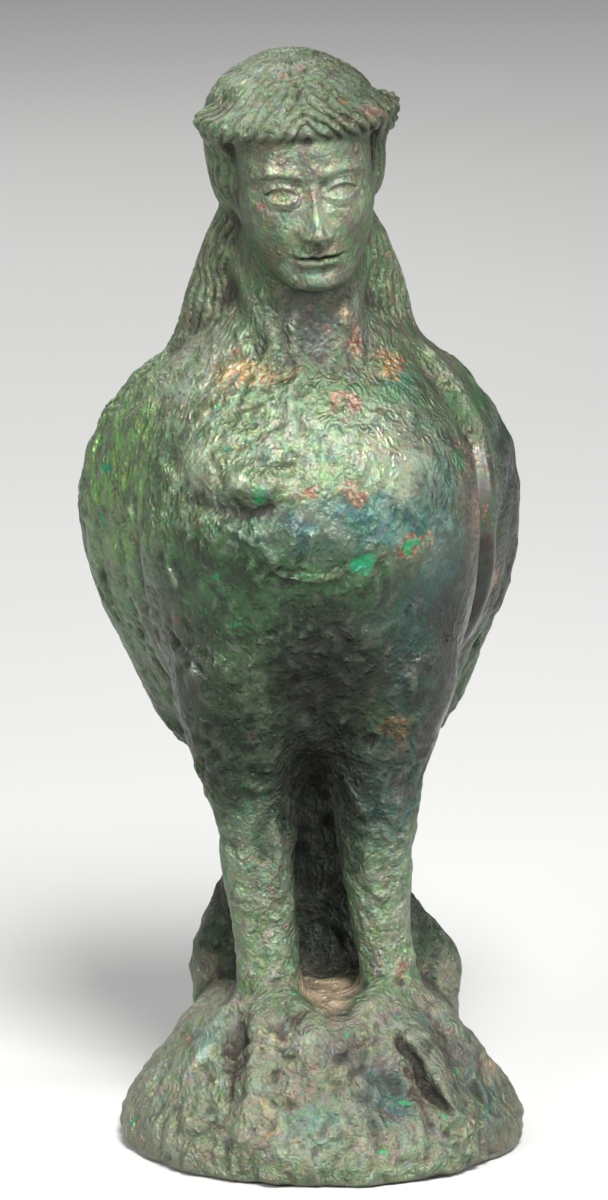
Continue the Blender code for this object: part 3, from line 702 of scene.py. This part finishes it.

# Painted shade, darker than those colours where shade falls on the figure: the share of light left, soft
# edge, then middles and sizes
PAINTED_SHADE_FIELDS = (
    (0.26, 0.6, (((-0.5, -7, 36), (4, 6, 6)), ((0, -3, 28), (4, 8, 8)), ((0, 9, 20), (14, 7, 13)))),
    (0.32, 0.7, (((-7, -5, 32), (5, 6, 7)), ((8.5, -5, 36), (5, 8, 9)))),
    (0.36, 0.5, (((15.5, 5, 42), (3.8, 9, 14)), ((11, 0, 38), (2.4, 6, 8)))),
    (0.60, 0.7, (((4.0, -2, 77), (7, 8, 5)), ((9, -6, 52), (5, 4, 6)))),
    (0.75, 0.6, (
        ((-8, -9, 42), (7, 6, 4)), ((1, -10, 42), (4, 4, 2.5)), ((12, -4, 6), (4, 7, 5)),
        ((4, -10, 6), (4, 4, 3)),
    )),
)

# Fields of the mound, laid the same way
MOUND_FIELDS = (
    (PALE, CELADON, 0.60, 0.6, (((-10, -5, 6), (6, 8, 4)),)),
    (SLATE, STONE, 0.60, 0.6, (((9, -6, 6), (6, 6, 5)),)),
    # Pale along the mound's front: partly pale crust, partly painted highlight on the faces turned up to the
    # light
    (PALE, STONE, 0.75, 0.6, (((1, -12.5, 3), (7, 3, 2.2)), ((-2, -7, 9), (3, 3, 1.5)))),
    (TEAL, SLATE, 0.85, 0.3, (((3.6, -10.8, 6), (2.2, 2.6, 2.2)),)),
    (SKY_TEAL, SLATE, 0.60, 0.5, (((6, -7.5, 9.6), (2.4, 2.5, 1.2)),)),
    (MALACHITE, CELADON, 0.55, 0.5, (((0, -13, 1.0), (16, 4, 1.4)), ((8.9, -10.2, 3.6), (0.8, 1.2, 1.2)))),
    (EARTH, STONE, 1.0, 0.5, (((-0.6, -1.6, 11), (2.6, 3.2, 1.4)), ((11.8, -3.8, 6.2), (1.2, 1.6, 1.6)))),
    (SKY_TEAL, CELADON, 0.60, 0.5, (
        ((-9.5, -4, 9), (2.6, 3, 1.6)), ((-1, -12, 4), (2, 2, 1.4)), ((10, -6, 4), (3, 3, 2)),
    )),
    (EARTH, STONE, 0.60, 0.4, (
        ((-4.2, -7.4, 9.2), (1.2, 2, 1.6)), ((5, -7.4, 9.6), (1.6, 2, 0.9)), ((-4.8, -11, 4), (1.0, 2, 2)),
    )),
    (PLUM, UMBER, 0.65, 0.4, (((-6.4, -8.0, 8.2), (1.0, 3.6, 3.0)), ((0.9, -8.8, 8.8), (2.2, 1.8, 1.2)))),
    (UMBER, MAROON, 0.80, 0.4, (
        ((-1.6, -6.2, 11.0), (1.3, 1.4, 1.1)), ((-6.9, -8.6, 8), (0.5, 3, 2.4)),
        ((6.0, -9.0, 7.0), (0.8, 2.2, 2.4)),
    )),
)

# Small places where ochre earth, red oxide and bright green show through
OCHRE_SPOTS = (
    ((4.5, -4, 57.5), (2.2, 1.4, 0.8)),
    ((5, -6.5, 31.5), (1.1, 2, 1.5)),
    ((-6.5, -5, 57.5), (3.4, 2, 0.8)),
    ((-0.5, -4, 12), (1.3, 1.6, 0.9)),
    ((12.5, 3, 40.5), (1.2, 1.2, 0.8)),
)
RED_SPOTS = (
    ((9.5, -5, 51), (0.9, 1.4, 2.0)),
    ((1, -11.5, 50), (0.9, 1.2, 0.9)),
    ((-2, -11.5, 50.5), (0.6, 1.0, 0.5)),
    ((1, -7.5, 56), (1.1, 1.0, 0.6)),
    ((1.5, -4, 60), (0.6, 1.0, 1.6)),
    ((5.5, -10, 46), (1.4, 1.4, 0.9)),
    ((10.5, -3.5, 46.5), (1.2, 2.0, 2.6)),
    ((5.5, -4, 13), (0.6, 1.0, 0.9)),
    ((-2, -5, 79), (1.0, 1.4, 0.8)),
    ((3.5, -6.5, 76), (1.4, 1.6, 0.7)),
    ((-5, -8, 64.5), (1.4, 1.4, 1.0)),
)
EMERALD_SPOTS = (
    ((9.5, -5.5, 51), (0.5, 0.8, 1.0)),
    ((5.5, -10, 46), (0.7, 1, 0.5)),
    ((2, -11.5, 45), (0.9, 1, 0.8)),
    ((-5.5, -11.5, 50.5), (0.5, 1, 0.6)),
    ((-15, 2.5, 49), (0.5, 1.2, 0.6)),
    ((-15.5, 3, 45), (0.5, 1.2, 0.6)),
    ((-9.5, -7, 47.5), (0.7, 1, 0.5)),
)
EARTH_PATCH = ((-0.5, -2, 11), (2.6, 3.4, 1.8))  # between the feet


PAINTED_CREVICE_SHADE = 0.6  # painted shade: the share of colour kept in the lowest crinkles, standing for their shade
PAINTED_CREST_HIGHLIGHT = 1.55  # painted highlight: how much brighter the colour of the highest crinkles is
PAINTED_CREST_HIGHLIGHT_BLUE = 1.5  # the same for blue, so that the painted highlight is a little warmer
MIDDLE_GREY = (0.5, 0.5, 0.5)


class Skin:
    """The noises and patches of the bronze's surface that its colour, gloss and relief share."""

    def __init__(self, paint):
        bare = paint.node("TexCoord", {}, "Object")
        self.paint = paint
        self.mm = paint.scaled(bare, 1 / MM)
        drift = paint.vector("SUBTRACT", paint.noise(self.mm, 2.6, 4, 0.6, "Color"), MIDDLE_GREY)
        self.near = paint.vector("ADD", self.mm, paint.scaled(drift, 4.5))
        self.blots = paint.noise(self.near, 2.2, 5, 0.65)
        self.mottle = paint.noise(self.near, 0.9, 5, 0.7)
        self.flecks = paint.noise(self.mm, 0.6, 4, 0.65)
        self.sand = paint.noise(self.mm, 0.3, 2, 0.5)
        swirl = paint.vector("SUBTRACT", paint.noise(self.mm, 3.0, 1, 0.5, "Color"), MIDDLE_GREY)
        bent = paint.vector("ADD", self.mm, paint.scaled(swirl, 1.2))
        bent = paint.vector("MULTIPLY", bent, (1.0, 1.0, 0.75))
        self.crust = paint.crinkle(bent, 1.7, 5.0)
        self.crinkle = paint.crinkle(bent, 0.45, 4.0)
        self.fine = paint.attribute("fine_hollow")
        self.deep = paint.attribute("broad_hollow")
        self.smooth = paint.patches(self.near, SMOOTH_SKIN, 0.3)
        self.worn = paint.patches(self.near, WORN_SKIN, 0.5)

    def fields(self, colour, table):
        """Lays a table's fields over a colour, broken up by the mottle, the blots in their second colour."""
        for first, second, cover, soft, spots in table:
            field = self.paint.patches(self.near, spots, soft) * (self.mottle.between(0.32, 0.52) * 0.6 + 0.4)
            patch = self.paint.mix(self.blots.between(0.44, 0.56), first, second)
            colour = self.paint.mix(field * cover, colour, patch)
        return colour


def ground_colour(skin):
    """The patina's zones, on the figure and on the mound, with pale crust crests and pale fields that are
    partly painted highlight.
    """
    paint = skin.paint
    figure = paint.mix(skin.blots.between(0.42, 0.58), MALACHITE, SAGE)
    mound = paint.mix(skin.blots.between(0.34, 0.50), SAGE, STONE)
    on_mound = paint.node("SeparateXYZ", {0: skin.near}, "Z").between(12.6, 10.6)
    colour = paint.mix(on_mound, skin.fields(figure, FIELDS), skin.fields(mound, MOUND_FIELDS))
    colour = paint.mix(skin.flecks.between(0.50, 0.74) * 0.35, colour, DEEP_GREEN)
    colour = paint.mix(skin.mottle.between(0.46, 0.26) * 0.3 * (1 - skin.smooth), colour, DEEP_GREEN)
    # Pale on the crust's crests: partly the crust's pale colour, partly painted highlight
    return paint.mix(skin.crust.between(0.45, 0.75) * 0.35 * (1 - skin.smooth), colour, PALE)


def spotted(skin, colour):
    """Ochre earth, red oxide and bright green showing through."""
    paint = skin.paint
    ochre = paint.patches(skin.near, OCHRE_SPOTS, 0.4) * skin.flecks.between(0.36, 0.5) * 0.8
    colour = paint.mix(ochre, colour, paint.mix(skin.sand.between(0.4, 0.6), EARTH, OCHRE))
    rust = paint.cells(skin.near, 3.4).between(0.15, 0.08) * paint.noise(skin.mm, 5.0, 2).between(0.46, 0.56)
    red = paint.patches(skin.near, RED_SPOTS, 0.35).most(rust * 0.8) * skin.flecks.between(0.34, 0.5) * 0.85
    colour = paint.mix(red, colour, paint.mix(skin.sand.between(0.46, 0.64), CUPRITE, EARTH))
    seeds = paint.cells(skin.near, 2.2).between(0.15, 0.07) * paint.noise(skin.mm, 6.0, 2).between(0.5, 0.6)
    green = paint.patches(skin.near, EMERALD_SPOTS, 0.3).most(seeds * (1 - skin.smooth)) * 0.85
    return paint.mix(green, colour, EMERALD)


def weathered_and_painted_light(skin, colour):
    """Fine changes of hue, rubbed heights partly painted as highlight, dirt and painted shade in the hollows,
    earth between the feet, painted shade and highlight on the crinkles, and painted shade over belly, legs,
    flank and wing.
    """
    paint = skin.paint
    tint = paint.vector("SUBTRACT", paint.noise(skin.mm, 0.9, 4, 0.65, "Color"), MIDDLE_GREY)
    tint = paint.vector("MULTIPLY", tint, (1.3, 1.1, 1.1))
    tint = paint.vector("MAXIMUM", paint.vector("ADD", tint, (1, 1, 1)), (0.2, 0.2, 0.2))
    colour = paint.vector("MULTIPLY", colour, tint)
    # Pale on the raised crinkles: partly rubbed wear, partly painted highlight
    colour = paint.mix(skin.fine.between(-0.3, -1.0) * (1 - skin.smooth) * 0.3, colour, PALE)
    # Dirt and painted shade in the hollows: the broad and fine hollows darkened towards umber
    colour = paint.mix(skin.deep.between(0.2, 1.0) * 0.75, colour, UMBER)
    colour = paint.mix(skin.fine.between(0.2, 1.0) * 0.4, colour, UMBER)
    earth = paint.patch(skin.near, *EARTH_PATCH, 0.5) * skin.mottle.between(0.3, 0.5) * 0.8
    colour = paint.mix(earth, colour, TAN)
    # Painted shade and highlight on the crinkles: colour darkened in the low ones, brightened on the high
    # ones
    painted_crest_light = skin.crust.between(0.20, 0.75) * 0.6 + skin.crinkle.between(0.20, 0.75) * 0.4
    painted_crest_light = painted_crest_light * (1 - skin.smooth) + skin.smooth * 0.5
    crevice_shade_colour = paint.vector("MULTIPLY", colour, (PAINTED_CREVICE_SHADE, PAINTED_CREVICE_SHADE, PAINTED_CREVICE_SHADE))
    crest_highlight_colour = paint.vector("MULTIPLY", colour, (PAINTED_CREST_HIGHLIGHT, PAINTED_CREST_HIGHLIGHT, PAINTED_CREST_HIGHLIGHT_BLUE))
    colour = paint.mix(painted_crest_light, crevice_shade_colour, crest_highlight_colour)
    # Painted shade over belly, thighs, tail, right flank and wing, right of crown and shoulder, lower breast
    # and right of the mound
    for left, soft, spots in PAINTED_SHADE_FIELDS:
        painted_shade = paint.vector("MULTIPLY", colour, (left, left, left))
        colour = paint.mix(paint.patches(skin.near, spots, soft), colour, painted_shade)
    return colour


# The bronze's material: patina colour with painted shade, highlight and reflection, its gloss and its relief
def patina():
    paint = Paint("bronze_patina_and_painted_light")
    skin = Skin(paint)
    paint.feed("Base Color", weathered_and_painted_light(skin, spotted(skin, ground_colour(skin))))
    height = paint.node("SeparateXYZ", {0: skin.near}, "Z")
    foil = height.between(24, 31) * height.between(66, 60)  # the breast, whose crust is thin and shiny
    gloss = foil * 0.06 + skin.smooth * 0.08
    rough = 0.40 - gloss + skin.fine.between(0.1, 0.9) * 0.25 + (skin.flecks - 0.5) * 0.5
    paint.feed("Roughness", rough)
    paint.feed("Metallic", skin.smooth * 0.1 + skin.blots.between(0.35, 0.6) * 0.3 + 0.35)
    paint.feed("Specular IOR Level", 0.6)
    relief = skin.crust * (foil * 0.10 + 0.50) + skin.crinkle * 0.24
    relief = relief + skin.flecks * (0.36 - foil * 0.14) + skin.mottle * (0.22 - foil * 0.10)
    relief = relief * (1 - skin.smooth * 0.96) * (1 - skin.worn * 0.4)
    paint.feed("Normal", paint.node("Bump", {"Height": relief, "Distance": MM, "Strength": 1.0}, "Normal"))
    return paint.material


def dress(obj, material):
    obj.data.materials.clear()
    obj.data.materials.append(material)
    obj.data.shade_smooth()
    obj.data.set_sharp_from_angle(angle=math.radians(75))


def pale_floor():
    """A wide pale sheet."""
    bpy.ops.object.select_all(action="DESELECT")
    bpy.ops.mesh.primitive_plane_add(size=3.0, location=(0, 0, 0))
    floor = bpy.context.object
    floor.name = "floor"
    paint = Paint("floor_paper")
    bare = paint.node("TexCoord", {}, "Object")
    tone = paint.noise(bare, 0.2, 2)
    paint.feed("Base Color", paint.mix(tone.between(0.3, 0.7), rgb(0.42, 0.42, 0.41), rgb(0.45, 0.45, 0.44)))
    paint.feed("Roughness", 0.9)
    floor.data.materials.append(paint.material)
    return floor


# Studio

def soft_light(name, place, size, watts, aim=(0, 0, 0.045)):
    lamp = bpy.data.lights.new(name, "AREA")
    lamp.shape = "RECTANGLE"
    lamp.size, lamp.size_y = size
    lamp.energy = watts
    holder = bpy.data.objects.new(name, lamp)
    bpy.context.scene.collection.objects.link(holder)
    holder.location = place
    holder.rotation_euler = (Vector(aim) - Vector(place)).to_track_quat("-Z", "Y").to_euler()


def studio():
    world = bpy.data.worlds.new("studio")
    world.use_nodes = True
    world.node_tree.nodes["Background"].inputs["Color"].default_value = (0.93, 0.96, 1.0, 1.0)
    world.node_tree.nodes["Background"].inputs["Strength"].default_value = 0.16
    bpy.context.scene.world = world
    soft_light("top", (0.03, -0.24, 0.38), (0.13, 0.13), 4.1)
    soft_light("right", (0.38, -0.10, 0.16), (0.05, 0.36), 1.3)
    soft_light("left", (-0.32, -0.30, 0.26), (0.16, 0.20), 1.7)
    soft_light("back", (-0.10, 0.36, 0.26), (0.40, 0.24), 0.9, (0, 0, 0.05))


CAMERA_AZIMUTH = math.radians(-4.5)  # turned this far from straight in front, towards -X
CAMERA_ELEVATION = math.radians(14)
CAMERA_DISTANCE = 0.6
CAMERA_LENS = 252.6
CAMERA_TARGET = Vector((-1.28 * MM, 0, 39.7 * MM))


def camera():
    eye = bpy.data.cameras.new("camera")
    eye.sensor_fit = "AUTO"
    eye.lens = CAMERA_LENS
    eye.clip_start, eye.clip_end = 0.01, 10
    holder = bpy.data.objects.new("camera", eye)
    bpy.context.scene.collection.objects.link(holder)
    back = Vector((
        math.sin(CAMERA_AZIMUTH) * math.cos(CAMERA_ELEVATION),
        -math.cos(CAMERA_AZIMUTH) * math.cos(CAMERA_ELEVATION),
        math.sin(CAMERA_ELEVATION),
    ))
    holder.location = CAMERA_TARGET + back * CAMERA_DISTANCE
    holder.rotation_euler = (-back).to_track_quat("-Z", "Y").to_euler()
    bpy.context.scene.camera = holder


siren = casting()
carve(siren)
thin_out(siren)
hollows(siren)
dress(siren, patina())
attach(siren, "root")
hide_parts("siren_statuette")

pale_floor()
studio()
camera()
bpy.context.scene.view_settings.view_transform = "Standard"
